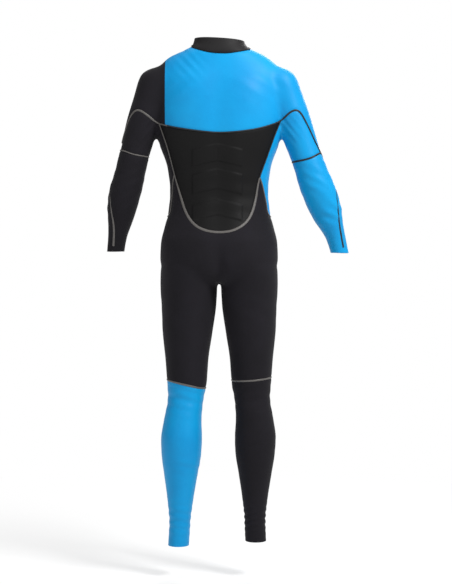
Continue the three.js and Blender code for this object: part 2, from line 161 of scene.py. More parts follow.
def make_stage():
    scene = bpy.context.scene
    distance = 4.5
    seen_height = 1.704                      # what the frame's long side takes in
    eye_height = 0.85
    aim = Vector((0.020, 0.0, 0.736 - ORIGIN))
    eye = Vector((0.020, -distance, eye_height - ORIGIN))
    camera_data = bpy.data.cameras.new("camera")
    camera_data.sensor_width = 36
    camera_data.lens = 36 * (aim - eye).length / seen_height
    camera = bpy.data.objects.new("camera", camera_data)
    camera.location = eye
    camera.rotation_euler = (aim - eye).to_track_quat("-Z", "Y").to_euler()
    scene.collection.objects.link(camera)
    scene.camera = camera

    scene.view_settings.view_transform = "Standard"

    # the backdrop is white, and softer as a light than it looks
    world = bpy.data.worlds.new("studio")
    world.use_nodes = True
    nodes = world.node_tree.nodes
    links = world.node_tree.links
    glow = nodes["Background"]
    glow.inputs["Strength"].default_value = 0.30
    backdrop = nodes.new("ShaderNodeBackground")
    backdrop.inputs["Strength"].default_value = BACKDROP
    rays = nodes.new("ShaderNodeLightPath")
    mixed = nodes.new("ShaderNodeMixShader")
    for node in (glow, backdrop):
        node.inputs["Color"].default_value = (1, 1, 1, 1)
    links.new(rays.outputs["Is Camera Ray"], mixed.inputs["Fac"])
    links.new(glow.outputs[0], mixed.inputs[1])
    links.new(backdrop.outputs[0], mixed.inputs[2])
    links.new(mixed.outputs[0], nodes["World Output"].inputs["Surface"])
    scene.world = world

    def area(name, place, target, size, power):
        data = bpy.data.lights.new(name, "AREA")
        data.size = size
        data.energy = power
        light = bpy.data.objects.new(name, data)
        light.location = place
        light.rotation_euler = (Vector(target) - Vector(place)).to_track_quat("-Z", "Y").to_euler()
        scene.collection.objects.link(light)

    area("key_light", (2.1, -2.0, 1.9), (0.12, 0, -0.05), 0.9, 128)
    area("fill_light", (-1.6, -3.4, 0.2), (0, 0, -0.7), 2.4, 20)
    area("front_light", (0.8, 3.0, 1.2), (0, 0, -0.5), 2.2, 75)
    area("overhead_light", (0, 0, 3.0), (0, 0, -0.5), 4.0, 56)

    floor_mesh = bpy.data.meshes.new("floor")
    half = 60.0
    drop = -0.10 - ORIGIN                    # the wearer's feet reach below the ankle hems
    corners = [(-half, -half, drop), (half, -half, drop), (half, half, drop), (-half, half, drop)]
    floor_mesh.from_pydata(corners, [], [(0, 1, 2, 3)])
    floor = bpy.data.objects.new("floor", floor_mesh)
    scene.collection.objects.link(floor)
    material, nodes, links, shader = blank("pale_floor")
    shader.inputs["Base Color"].default_value = (0.90, 0.90, 0.90, 1)
    shader.inputs["Roughness"].default_value = 0.9
    # far from the suit the floor passes into the white backdrop
    place = nodes.new("ShaderNodeTexCoord")
    reach = nodes.new("ShaderNodeVectorMath")
    reach.operation = "LENGTH"
    links.new(place.outputs["Object"], reach.inputs[0])
    fade = nodes.new("ShaderNodeMapRange")
    fade.interpolation_type = "SMOOTHSTEP"
    fade.inputs["From Min"].default_value = 0.5
    fade.inputs["From Max"].default_value = 2.6
    links.new(reach.outputs["Value"], fade.inputs["Value"])
    glow = nodes.new("ShaderNodeEmission")
    glow.inputs["Strength"].default_value = BACKDROP
    mixed = nodes.new("ShaderNodeMixShader")
    links.new(fade.outputs["Result"], mixed.inputs["Fac"])
    links.new(shader.outputs[0], mixed.inputs[1])
    links.new(glow.outputs[0], mixed.inputs[2])
    links.new(mixed.outputs[0], nodes["Material Output"].inputs["Surface"])
    floor_mesh.materials.append(material)


# ---- materials -------------------------------------------------------------------------
def blank(name):
    """A new node material: itself, its nodes, its links and its main shader."""
    material = bpy.data.materials.new(name)
    material.use_nodes = True
    nodes = material.node_tree.nodes
    return material, nodes, material.node_tree.links, nodes["Principled BSDF"]


def noise(nodes, links, place, scale, detail):
    node = nodes.new("ShaderNodeTexNoise")
    node.inputs["Scale"].default_value = scale
    node.inputs["Detail"].default_value = detail
    links.new(place.outputs["Object"], node.inputs["Vector"])
    return node.outputs["Fac"]


def mixed_values(nodes, links, first, second, share):
    node = nodes.new("ShaderNodeMix")
    node.inputs["Factor"].default_value = share
    links.new(first, node.inputs[2])
    links.new(second, node.inputs[3])
    return node.outputs[0]


def coloured(nodes, links, shader, value, shade, colour, low=0.0, high=1.0):
    """Base colour from shade to colour as a value goes from low to high."""
    ramp = nodes.new("ShaderNodeValToRGB")
    for element, at, tint in zip(ramp.color_ramp.elements, (low, high), (shade, colour)):
        element.position = at
        element.color = (*tint, 1)
    links.new(value, ramp.inputs["Fac"])
    links.new(ramp.outputs["Color"], shader.inputs["Base Color"])


def bumped(nodes, links, shader, height, strength, distance):
    bump = nodes.new("ShaderNodeBump")
    bump.inputs["Strength"].default_value = strength
    bump.inputs["Distance"].default_value = distance
    links.new(height, bump.inputs["Height"])
    links.new(bump.outputs["Normal"], shader.inputs["Normal"])


def knit(name, colour, shade, roughness, sheen, rib_mm=2.2, depth=0.25, specular=0.12):
    """Jersey-faced neoprene: fine ribs of loops under soft, mottled colour."""
    material, nodes, links, shader = blank(name)
    shader.inputs["Roughness"].default_value = roughness
    shader.inputs["Sheen Weight"].default_value = sheen
    shader.inputs["Sheen Roughness"].default_value = 0.45
    shader.inputs["Specular IOR Level"].default_value = specular
    place = nodes.new("ShaderNodeTexCoord")
    mottle = noise(nodes, links, place, 9.0, 6.0)
    grain = noise(nodes, links, place, 420.0, 2.0)
    tone = mixed_values(nodes, links, mottle, grain, 0.35)
    coloured(nodes, links, shader, tone, shade, colour, 0.32, 0.68)

    ribs = nodes.new("ShaderNodeTexWave")
    ribs.bands_direction = "Z"
    ribs.inputs["Scale"].default_value = math.pi / (10 * rib_mm * MM)      # one rib each rib_mm
    ribs.inputs["Distortion"].default_value = 1.2
    ribs.inputs["Detail Scale"].default_value = 3.0
    links.new(place.outputs["Object"], ribs.inputs["Vector"])
    height = mixed_values(nodes, links, ribs.outputs["Fac"], grain, 0.5)
    bumped(nodes, links, shader, height, depth, 0.0006)
    return material


def coated(name, colour, shade, roughness, grain_scale=260.0, coat=0.0, specular=0.3, depth=0.3):
    """Smooth rubbery or moulded surface with a fine grain and uneven gloss."""
    material, nodes, links, shader = blank(name)
    shader.inputs["Coat Weight"].default_value = coat
    shader.inputs["Specular IOR Level"].default_value = specular
    place = nodes.new("ShaderNodeTexCoord")
    grain = noise(nodes, links, place, grain_scale, 4.0)
    coloured(nodes, links, shader, grain, shade, colour)
    gloss = nodes.new("ShaderNodeMapRange")
    gloss.inputs["To Min"].default_value = max(roughness - GLOSS_SPREAD, 0.05)
    gloss.inputs["To Max"].default_value = roughness + GLOSS_SPREAD
    links.new(grain, gloss.inputs["Value"])
    links.new(gloss.outputs["Result"], shader.inputs["Roughness"])
    bumped(nodes, links, shader, grain, depth, 0.0004)
    return material


GLOSS_SPREAD = 0.12
MATERIALS = {
    "black_neoprene": knit(
        "black_neoprene", (0.0120, 0.0108, 0.0145), (0.0080, 0.0073, 0.0092), 0.82, 0.04),
    "blue_neoprene": knit(
        "blue_neoprene", (0.0, 0.305, 0.640), (0.0, 0.235, 0.540), 0.50, 0.02, specular=0.20),
    "smooth_panel": coated(
        "smooth_panel", (0.0058, 0.0056, 0.0058), (0.0036, 0.0035, 0.0036), 0.6, specular=0.14),
    "collar_rubber": coated(
        "collar_rubber", (0.0135, 0.0128, 0.0135), (0.0085, 0.0080, 0.0085), 0.6, specular=0.18),
    "seam_tape": coated("seam_tape", (0.120, 0.112, 0.106), (0.082, 0.077, 0.073), 0.48, 600.0),
    "dark_tape": coated("dark_tape", (0.016, 0.018, 0.022), (0.010, 0.011, 0.013), 0.50, 600.0),
    "zip_plastic": coated(
        "zip_plastic", (0.014, 0.014, 0.015), (0.008, 0.008, 0.009), 0.35, 900.0, 0.2, depth=0.15),
    "pad_rubber": coated(
        "pad_rubber", (0.020, 0.020, 0.022), (0.011, 0.011, 0.012), 0.6, 350.0, depth=0.5),
    "zip_cloth": knit("zip_cloth", (0.014, 0.014, 0.015), (0.008, 0.008, 0.009), 0.85, 0.02, 1.6, 0.5),
    "lining": knit("lining", (0.022, 0.021, 0.023), (0.014, 0.013, 0.015), 0.9, 0.1, 3.2, 0.35),
}


# ---- one smooth skin ---------------------------------------------------------------------
def eased_rows(rows, step):
    """Sections every `step` metres, on a curve through the given ones that never overshoots."""
    table = np.array(sorted(rows), float) * MM
    z = table[:, 0]
    slopes = np.diff(table[:, 1:], axis=0) / np.diff(z)[:, None]
    tangents = np.zeros((len(z), 4))
    same = slopes[1:] * slopes[:-1] > 0
    total = slopes[1:] + slopes[:-1]
    total[~same] = 1.0
    tangents[1:-1] = np.where(same, 2 * slopes[1:] * slopes[:-1] / total, 0.0)
    tangents[0] = slopes[0]
    tangents[-1] = slopes[-1]
    heights = np.append(np.arange(z[0], z[-1], step), z[-1])
    k = np.clip(np.searchsorted(z, heights, side="right") - 1, 0, len(z) - 2)
    span = (z[k + 1] - z[k])[:, None]
    t = ((heights - z[k]) / span[:, 0])[:, None]
    values = ((2 * t**3 - 3 * t**2 + 1) * table[k, 1:] + (t**3 - 2 * t**2 + t) * span * tangents[k]
              + (3 * t**2 - 2 * t**3) * table[k + 1, 1:] + (t**3 - t**2) * span * tangents[k + 1])
    return np.column_stack([heights, values])


def ring_faces(rings, sides, closed=False, start=0):
    """Faces between rings of points, each with its neighbour, and the two ends of an open row."""
    faces = []
    for k in range(rings if closed else rings - 1):
        low = start + k * sides
        high = start + (k + 1) % rings * sides
        for i in range(sides):
            j = (i + 1) % sides
            faces.append((low + i, low + j, high + j, high + i))
    if not closed:
        faces.append(tuple(start + i for i in reversed(range(sides))))
        faces.append(tuple(start + (rings - 1) * sides + i for i in range(sides)))
    return faces


def loft(rows, sides, power):
    """A closed tube through horizontal sections: vertices and faces."""
    rows = eased_rows(rows, 0.010)
    angle = np.arange(sides) / sides * 2 * math.pi
    u = np.sign(np.cos(angle)) * np.abs(np.cos(angle)) ** (2 / power)
    v = np.sign(np.sin(angle)) * np.abs(np.sin(angle)) ** (2 / power)
    points = [(cx + a * p, cy + b * q, z) for z, cx, cy, a, b in rows for p, q in zip(u, v)]
    return points, ring_faces(len(rows), sides)


def leg_rows(name):
    out, down = LEG_SHIFT[name]
    side = SIDES[name]
    rows = []
    for z, x, y, a, b in LEG:
        share = max(KNEE_HEIGHT - z, 0) / KNEE_HEIGHT
        rows.append((z - down * share, side * x + out * share, y, a, b))
    return rows


def gathered(parts):
    """Several (points, faces) pairs as one."""
    points = []
    faces = []
    start = 0
    for part_points, part_faces in parts:
        points.append(part_points)
        faces.extend(tuple(i + start for i in face) for face in part_faces)
        start += len(part_points)
    return np.vstack(points), faces


def remeshed(parts):
    """The parts as one voxel mesh: its vertices, triangles and edges."""
    points, faces = gathered(parts)
    mesh = bpy.data.meshes.new("skin_source")
    mesh.from_pydata(points.tolist(), [], faces)
    source = bpy.data.objects.new("skin_source", mesh)
    bpy.context.scene.collection.objects.link(source)
    remesh = source.modifiers.new("remesh", "REMESH")
    remesh.mode = "VOXEL"
    remesh.voxel_size = VOXEL
    graph = bpy.context.evaluated_depsgraph_get()
    result = source.evaluated_get(graph).to_mesh()
    result.calc_loop_triangles()
    vertices = np.empty(len(result.vertices) * 3)
    result.vertices.foreach_get("co", vertices)
    triangles = np.empty(len(result.loop_triangles) * 3, int)
    result.loop_triangles.foreach_get("vertices", triangles)
    edges = np.empty(len(result.edges) * 2, int)
    result.edges.foreach_get("vertices", edges)
    source.evaluated_get(graph).to_mesh_clear()
    bpy.data.objects.remove(source)
    return vertices.reshape(-1, 3), triangles.reshape(-1, 3), edges.reshape(-1, 2)


def ease(t):
    t = np.clip(t, 0, 1)
    return t * t * (3 - 2 * t)


def bell(points, centre, radii):
    """1 at the centre and falling to 0, with a radius along each axis."""
    d = (points - np.array(centre)) / np.array(radii)
    return np.exp(-(d * d).sum(axis=1))


def smoothed(vertices, edges, rounds, share):
    counts = np.bincount(edges.ravel(), minlength=len(vertices)).astype(float)[:, None]
    first, second = edges[:, 0], edges[:, 1]
    for _ in range(rounds):
        total = np.zeros_like(vertices)
        for axis in range(3):
            total[:, axis] = (np.bincount(first, vertices[second, axis], len(vertices))
                              + np.bincount(second, vertices[first, axis], len(vertices)))
        vertices = vertices + share * (total / counts - vertices)
    return vertices


def normals_of(vertices, triangles):
    a, b, c = (vertices[triangles[:, i]] for i in range(3))
    face = np.cross(b - a, c - a)
    normals = np.zeros_like(vertices)
    for axis in range(3):
        for corner in range(3):
            normals[:, axis] += np.bincount(triangles[:, corner], face[:, axis], len(vertices))
    return normals / np.maximum(np.linalg.norm(normals, axis=1, keepdims=True), 1e-12)


# how far out, on which side of the body, centre and radii; a centre's x is taken on both sides
PAIRED_RELIEF = [
    (0.010, "back", (0.078, -0.11, 0.835), (0.062, 0.08, 0.060)),        # seat
    (0.0055, "back", (0.085, -0.10, 1.315), (0.050, 0.08, 0.062)),       # shoulder blades
    (0.004, "back", (0.045, -0.09, 1.075), (0.028, 0.08, 0.110)),        # muscle beside the spine
    (0.007, "front", (0.080, 0.10, 1.265), (0.062, 0.08, 0.050)),        # chest
    (0.006, "front", (0.100, 0.06, 0.420), (0.036, 0.06, 0.040)),        # kneecaps
    (-0.004, "back", (0.100, -0.06, 0.425), (0.035, 0.06, 0.025)),       # hollow of the knee
]
MIDDLE_RELIEF = [
    (-0.0045, "back", (0, -0.10, 1.130), (0.030, 0.10, 0.190)),          # spine
    (-0.010, "back", (0, -0.12, 0.805), (0.018, 0.10, 0.050)),           # seat's cleft
    (-0.004, "front", (0, 0.10, 1.130), (0.016, 0.10, 0.150)),           # belly's middle line
]
SHOULDER_TOP = {-1: 0.005, 1: 0.002}                                     # fuller on the left


def body_relief(points):
    """How far the wearer's form moves the skin along its normal."""
    back = 1 / (1 + np.exp(points[:, 1] / 0.012))
    face = {"back": back, "front": 1 - back}
    relief = np.zeros(len(points))
    for side in (-1, 1):
        for height, which, (x, y, z), radii in PAIRED_RELIEF:
            relief += height * face[which] * bell(points, (side * x, y, z), radii)
        relief += SHOULDER_TOP[side] * bell(points, (side * 0.145, -0.012, 1.402), (0.032, 0.05, 0.026))
    for height, which, centre, radii in MIDDLE_RELIEF:
        relief += height * face[which] * bell(points, centre, radii)
    return relief


# centre (x, height), radii, depth, wave length, slope
FOLDS = [
    ((-0.100, 0.430), (0.060, 0.045), 0.0013, 0.030, 0.25),
    ((0.098, 0.430), (0.060, 0.045), 0.0013, 0.030, -0.25),
    ((-0.116, 0.075), (0.050, 0.045), 0.0011, 0.024, 0.15),
    ((0.105, 0.075), (0.050, 0.038), 0.0019, 0.018, -0.1),
    ((-0.090, 0.235), (0.040, 0.030), 0.0009, 0.030, 0.3),
    ((0.107, 0.300), (0.045, 0.030), 0.0008, 0.028, -0.2),
    ((0.330, 0.985), (0.040, 0.040), 0.0012, 0.034, 0.6),
    ((-0.300, 0.985), (0.040, 0.040), 0.0010, 0.034, -0.6),
    ((-0.268, 1.060), (0.055, 0.055), 0.0008, 0.030, -0.5),
    ((0.283, 1.055), (0.055, 0.055), 0.0008, 0.030, 0.5),
    ((-0.195, 1.200), (0.035, 0.040), 0.0011, 0.026, -1.2),
    ((0.195, 1.200), (0.035, 0.040), 0.0011, 0.026, 1.2),
    ((0.000, 1.020), (0.150, 0.070), 0.0007, 0.045, 0),
    ((-0.110, 0.690), (0.060, 0.050), 0.0007, 0.050, -0.4),
    ((0.110, 0.690), (0.060, 0.050), 0.0007, 0.050, 0.4),
    ((0.120, 1.330), (0.060, 0.040), 0.0009, 0.048, 0.7),
    ((-0.120, 1.330), (0.060, 0.040), 0.0008, 0.048, -0.7),
    ((-0.085, 1.385), (0.035, 0.045), 0.0010, 0.034, 1.1),
    ((0.322, 0.955), (0.040, 0.030), 0.0012, 0.030, 0.2),
]

def slack_folds(points):
    """Shallow folds where the cloth gathers, such as at the knees, elbows, ankles and armpits."""
    folds = np.zeros(len(points))
    for (x, z), (wide, tall), depth, wave, slope in FOLDS:
        dx = points[:, 0] - x
        dz = points[:, 2] - z
        mask = np.exp(-((dx / wide) ** 2 + (dz / tall) ** 2))
        bend = 0.35 * np.sin(dx / 0.031 + points[:, 1] / 0.05)
        folds += depth * mask * np.sin(2 * math.pi * (dz + slope * dx) / wave + bend)
    return folds


BLOCKS = [(1.161, 1.113), (1.090, 1.034), (1.003, 0.958)]      # head and foot of each, over the spine
BLOCK_X = -0.005
BLOCK_HALF = 0.071
BLOCK_SLOPE = 0.20


def back_emboss(points):
    """Three padded blocks down the back, each with a chevron for its head and its foot."""
    x = np.abs(points[:, 0] - BLOCK_X)
    z = points[:, 2] + BLOCK_SLOPE * x + 0.5 * x * x
    raised = np.zeros(len(points))
    for head, foot in BLOCKS:
        inside = np.minimum(np.minimum(head - z, z - foot), BLOCK_HALF - x)
        raised = np.maximum(raised, ease((inside + 0.003) / 0.006) * (0.8 + 0.2 * ease(inside / 0.02)))
    groove = np.exp(-((points[:, 0] - BLOCK_X) / 0.0035) ** 2) * (z > 1.075) * (z < 1.150)
    return 0.0027 * raised - 0.0010 * groove * raised


def laid_on_zip(points):
    """The chest is drawn flat along the zip, whose arc runs about an upright axis."""
    from_axis = points[:, :2] - (0, ZIP_AXIS_Y)
    radius = np.linalg.norm(from_axis, axis=1)
    share = np.exp(-((points[:, 2] - ZIP_Z) / 0.030) ** 4)
    share = share * ease((0.135 - np.abs(points[:, 0])) / 0.030) * (points[:, 1] > 0.04)
    moved = points.copy()
    moved[:, :2] += from_axis * (share * (ZIP_RADIUS - radius) / radius)[:, None]
    return moved


def make_skin():
    """Body and limbs as one skin, smoothed most at the shoulders, armpits and crotch."""
    parts = [
        loft(TORSO, 96, 2.3), loft(LEFT_ARM, 48, 2.0), loft(RIGHT_ARM, 48, 2.0),
        loft(leg_rows("left"), 64, 2.0), loft(leg_rows("right"), 64, 2.0),
    ]
    vertices, triangles, edges = remeshed(parts)
    vertices = smoothed(vertices, edges, 8, 0.5)
    joins = np.zeros(len(vertices))
    for side in (-1, 1):
        joins = np.maximum(joins, bell(vertices, (side * 0.175, -0.01, 1.385), (0.045, 0.08, 0.040)))
        armpit = bell(vertices, (side * 0.186, -0.01, 1.225), (0.022, 0.10, 0.045))
        joins = np.maximum(joins, 0.5 * armpit)
        joins = np.maximum(joins, bell(vertices, (side * 0.170, -0.01, 1.310), (0.040, 0.12, 0.060)))
    joins = np.maximum(joins, bell(vertices, (0, -0.01, 0.795), (0.08, 0.14, 0.026)))
    vertices = smoothed(vertices, edges, 45, 0.6 * np.clip(joins * 1.3, 0, 1)[:, None])
    normals = normals_of(vertices, triangles)
    lift = body_relief(vertices) + slack_folds(vertices)
    vertices = vertices + normals * lift[:, None]
    vertices = laid_on_zip(vertices)
    return {"v": vertices, "n": normals_of(vertices, triangles), "t": triangles}


# ---- fields that say which side of a seam a point lies on ----------------------------------
def curve_through(points, steps=8):
    """A smooth line through points given in millimetres."""
    p = np.array(points, float) * MM
    p = np.vstack([2 * p[0] - p[1], p, 2 * p[-1] - p[-2]])
    out = []
    for k in range(1, len(p) - 2):
        for s in range(steps):
            t = s / steps
            out.append(0.5 * (2 * p[k] + (p[k + 1] - p[k - 1]) * t
                              + (2 * p[k - 1] - 5 * p[k] + 4 * p[k + 1] - p[k + 2]) * t**2
                              + (3 * p[k] - p[k - 1] - 3 * p[k + 1] + p[k + 2]) * t**3))
    out.append(p[-2])
    return np.array(out)


def beside(points):
    """Signed distance in the x-height plane: positive to the left of the line's direction."""
    line = curve_through(points)

    def field(v):
        best = np.full(len(v), 1e9)
        sign = np.ones(len(v))
        px, pz = v[:, 0], v[:, 2]
        for (ax, az), (bx, bz) in zip(line[:-1], line[1:]):
            dx, dz = bx - ax, bz - az
            t = np.clip(((px - ax) * dx + (pz - az) * dz) / (dx * dx + dz * dz), 0, 1)
            ex, ez = px - ax - t * dx, pz - az - t * dz
            d = ex * ex + ez * ez
            nearer = d < best
            best = np.where(nearer, d, best)
            sign = np.where(nearer, np.sign(dx * (pz - az) - dz * (px - ax)), sign)
        return np.sqrt(best) * np.where(sign == 0, 1, sign)

    return field


def behind(field):
    return lambda v: np.minimum(field(v), -v[:, 1])


def before(field):
    return lambda v: np.minimum(field(v), v[:, 1])


def back_or_front(back_field, front_field):
    return lambda v: np.where(v[:, 1] < 0, back_field(v), front_field(v))


# ---- cutting -------------------------------------------------------------------------------
def compact(vertices, normals, triangles):
    used, index = np.unique(triangles, return_inverse=True)
    return {"v": vertices[used], "n": normals[used], "t": index.reshape(-1, 3)}


def split(mesh, field):
    """Cut a mesh where the field changes sign: positive part, negative part and the cut's segments."""
    v, n, t = mesh["v"], mesh["n"], mesh["t"]
    s = field(v)
    s = np.where(np.abs(s) < 1e-6, 1e-6, s)
    above = s > 0
    count = above[t].sum(axis=1)
    keep = t[count == 3]
    drop = t[count == 0]
    mixed = t[(count == 1) | (count == 2)]
    if not len(mixed):
        return compact(v, n, keep), compact(v, n, drop), np.zeros((0, 2, 6))
    lone_above = above[mixed].sum(axis=1) == 1
    lone = np.argmax(above[mixed] == lone_above[:, None], axis=1)
    rows = np.arange(len(mixed))
    a = mixed[rows, lone]
    b = mixed[rows, (lone + 1) % 3]
    c = mixed[rows, (lone + 2) % 3]
    pairs = np.sort(np.concatenate([np.stack([a, b], 1), np.stack([a, c], 1)]), axis=1)
    unique, index = np.unique(pairs, axis=0, return_inverse=True)
    index = index.ravel()
    share = (s[unique[:, 0]] / (s[unique[:, 0]] - s[unique[:, 1]]))[:, None]
    cut_v = v[unique[:, 0]] * (1 - share) + v[unique[:, 1]] * share
    cut_n = n[unique[:, 0]] * (1 - share) + n[unique[:, 1]] * share
    cut_n /= np.linalg.norm(cut_n, axis=1, keepdims=True)
    p = index[: len(mixed)] + len(v)
    q = index[len(mixed):] + len(v)
    tip = np.stack([a, p, q], 1)
    rest = np.concatenate([np.stack([p, b, c], 1), np.stack([p, c, q], 1)])
    twice = np.concatenate([lone_above, lone_above])
    v = np.vstack([v, cut_v])
    n = np.vstack([n, cut_n])
    keep = np.concatenate([keep, tip[lone_above], rest[~twice]])
    drop = np.concatenate([drop, tip[~lone_above], rest[twice]])
    both = np.hstack([v, n])
    segments = np.stack([both[p], both[q]], 1)
    return compact(v, n, keep), compact(v, n, drop), segments


def refined(mesh):
    """Each triangle in four, through the middles of its edges."""
    v, n, t = mesh["v"], mesh["n"], mesh["t"]
    pairs = np.sort(np.concatenate([t[:, [0, 1]], t[:, [1, 2]], t[:, [2, 0]]]), axis=1)
    unique, index = np.unique(pairs, axis=0, return_inverse=True)
    ab, bc, ca = index.ravel().reshape(3, -1) + len(v)
    middle_n = n[unique[:, 0]] + n[unique[:, 1]]
    middle_n /= np.linalg.norm(middle_n, axis=1, keepdims=True)
    a, b, c = t[:, 0], t[:, 1], t[:, 2]
    middle_v = (v[unique[:, 0]] + v[unique[:, 1]]) / 2
    quarters = ((a, ab, ca), (ab, b, bc), (ca, bc, c), (ab, bc, ca))
    triangles = np.concatenate([np.stack(corners, 1) for corners in quarters])
    return {"v": np.vstack([v, middle_v]), "n": np.vstack([n, middle_n]), "t": triangles}


def chained(segments):
    """Join loose segments end to end into lines, longest first and without scraps."""
    if not len(segments):
        return []
    keys = np.round(segments[:, :, :3] / 1e-7).astype(np.int64)
    ends = {}
    for i, pair in enumerate(keys):
        for side in (0, 1):
            ends.setdefault(tuple(pair[side]), []).append((i, side))
    used = np.zeros(len(segments), bool)
    lines = []

    def walk(i, side):
        points = []
        while True:
            used[i] = True
            points.append(segments[i, 1 - side])
            following = [(j, s) for j, s in ends[tuple(keys[i, 1 - side])] if not used[j]]
            if not following:
                return points
            i, side = following[0]

    for start in range(len(segments)):
        if used[start]:
            continue
        forward = walk(start, 0)
        open_end = [(j, s) for j, s in ends[tuple(keys[start, 0])] if not used[j]]
        backward = walk(*open_end[0]) if open_end else []
        line = np.array(backward[::-1] + [segments[start, 0]] + forward)
        lines.append(line)
    length = lambda line: np.linalg.norm(np.diff(line[:, :3], axis=0), axis=1).sum()
    return sorted((line for line in lines if length(line) > SHORTEST_SEAM), key=length, reverse=True)


def evened(line, step, closed):
    """Resample a line at even steps and take out the saw-teeth of the mesh that it was cut from."""
    if closed:
        line = np.vstack([line, line[:1]])
    run = np.append(0, np.cumsum(np.linalg.norm(np.diff(line[:, :3], axis=0), axis=1)))
    count = max(int(run[-1] / step), 4)
    at = np.linspace(0, run[-1], count + 1)
    line = np.column_stack([np.interp(at, run, line[:, k]) for k in range(6)])
    if closed:
        line = line[:-1]
    for _ in range(4):
        middle = (np.roll(line, 1, 0) + np.roll(line, -1, 0)) / 2
        if not closed:
            middle[0], middle[-1] = line[0], line[-1]
        line = (line + middle) / 2
    line[:, 3:] /= np.linalg.norm(line[:, 3:], axis=1, keepdims=True)
    return line


# ---- weights: how far each point of a piece follows the outer body of a joint --------------
KNEE_BEND = (0.485, 0.305)               # heights where a bend starts and is complete
ELBOW_BEND = {"left": (1.128, 0.985), "right": (1.115, 0.985)}


def shoulder_weight(side):
    """Rises outward across the shoulder, in a band that widens upward, and down under the armpit."""
    def weight(v):
        x = side * v[:, 0]
        z = v[:, 2]
        high = np.clip((z - 1.22) / 0.08, 0, 1)
        start = 0.176 - 0.021 * high
        end = 0.212 + 0.023 * high
        across = ease((x - start) / (end - start))
        down = ease((1.190 - z) / 0.050) * (x > ARMPIT_X - 0.0005)
        return np.maximum(across, down)
    return weight


def height_weight(start, end):
    return lambda v: ease((v[:, 2] - start) / (end - start))


JOINTS = {}
for _name, _side in SIDES.items():
    JOINTS[f"{_name}_shoulder"] = ("torso", f"{_name}_upper_arm", shoulder_weight(_side))
    JOINTS[f"{_name}_hip"] = ("torso", f"{_name}_thigh", height_weight(CROTCH, THIGH_SPLIT))
    JOINTS[f"{_name}_knee"] = (f"{_name}_thigh", f"{_name}_shin", height_weight(*KNEE_BEND))
    JOINTS[f"{_name}_elbow"] = (
        f"{_name}_upper_arm", f"{_name}_forearm", height_weight(*ELBOW_BEND[_name]))


# ---- pieces ------------------------------------------------------------------------------
def attach(piece, holder):
    """Ride on a body; a piece held by a joint only has its transform baked and that joint's weights
    worked out, and is not bent or attached.
    """
    if holder not in JOINTS:
        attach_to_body(piece, holder)
        return
    inner_body, outer_body, weight = JOINTS[holder]
    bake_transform(piece)
    v = np.empty(len(piece.data.vertices) * 3)
    piece.data.vertices.foreach_get("co", v)
    v = v.reshape(-1, 3) + (0, 0, ORIGIN)
    weight(v).astype(np.float32)


def make_object(name, vertices, faces, slot, holder, replaced,
                second=None, other="lining", sharp=40, look=None):
    """A piece in its slot's material or in `look`; `second` marks the faces of material `other`."""
    mesh = bpy.data.meshes.new(name)
    lowered = np.asarray(vertices, float) - (0, 0, ORIGIN)
    mesh.from_pydata(lowered.tolist(), [], [tuple(int(i) for i in face) for face in faces])
    mesh.materials.append(MATERIALS[look or slot])
    if second is not None:
        mesh.materials.append(MATERIALS[other])
        mesh.polygons.foreach_set("material_index", second.astype(np.int32))
    mesh.shade_smooth()
    mesh.set_sharp_from_angle(angle=math.radians(sharp))
    mesh.update()
    piece = bpy.data.objects.new(name, mesh)
    bpy.context.scene.collection.objects.link(piece)
    attach(piece, holder)
    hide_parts(*replaced)
    return piece


def boundary(t):
    edges = np.concatenate([t[:, [0, 1]], t[:, [1, 2]], t[:, [2, 0]]])
    _, first, counts = np.unique(np.sort(edges, axis=1), axis=0, return_index=True, return_counts=True)
    return edges[first[counts == 1]]


def shell(name, outer, inner, t, slot, holder, replaced, lining=None, look=None):
    """A closed sheet between two faces that share their triangles."""
    count = len(outer)
    rim = boundary(t)
    faces = t.tolist() + (t[:, ::-1] + count).tolist()
    faces += np.stack([rim[:, 1], rim[:, 0], rim[:, 0] + count, rim[:, 1] + count], 1).tolist()
    points = np.vstack([outer, inner])
    return make_object(name, points, faces, slot, holder, replaced, lining, look=look)


def panel(name, mesh, slot, holder, replaced, near=(), look=None):
    """A neoprene panel: face, lining and the cut edge between, pulled in along its taped seams."""
    v, n, t = mesh["v"], mesh["n"], mesh["t"]
    distance = np.full(len(v), 1.0)
    for field in near:
        distance = np.minimum(distance, np.abs(field(v)))
    sink = 0.0016 * np.exp(-(distance / 0.0042) ** 2)
    count = len(t)
    rim = len(boundary(t))
    lining = np.repeat([0, 1, 0], [count, count, rim])
    piece = shell(name, v - n * sink[:, None], v - n * WALL, t, slot, holder, replaced, lining, look)


TAPE_PROFILE = [(-1.0, -0.0010), (-1.0, 0.0000), (-0.72, 0.0007), (-0.25, 0.0011),
                (0.25, 0.0011), (0.72, 0.0007), (1.0, 0.0000), (1.0, -0.0010)]


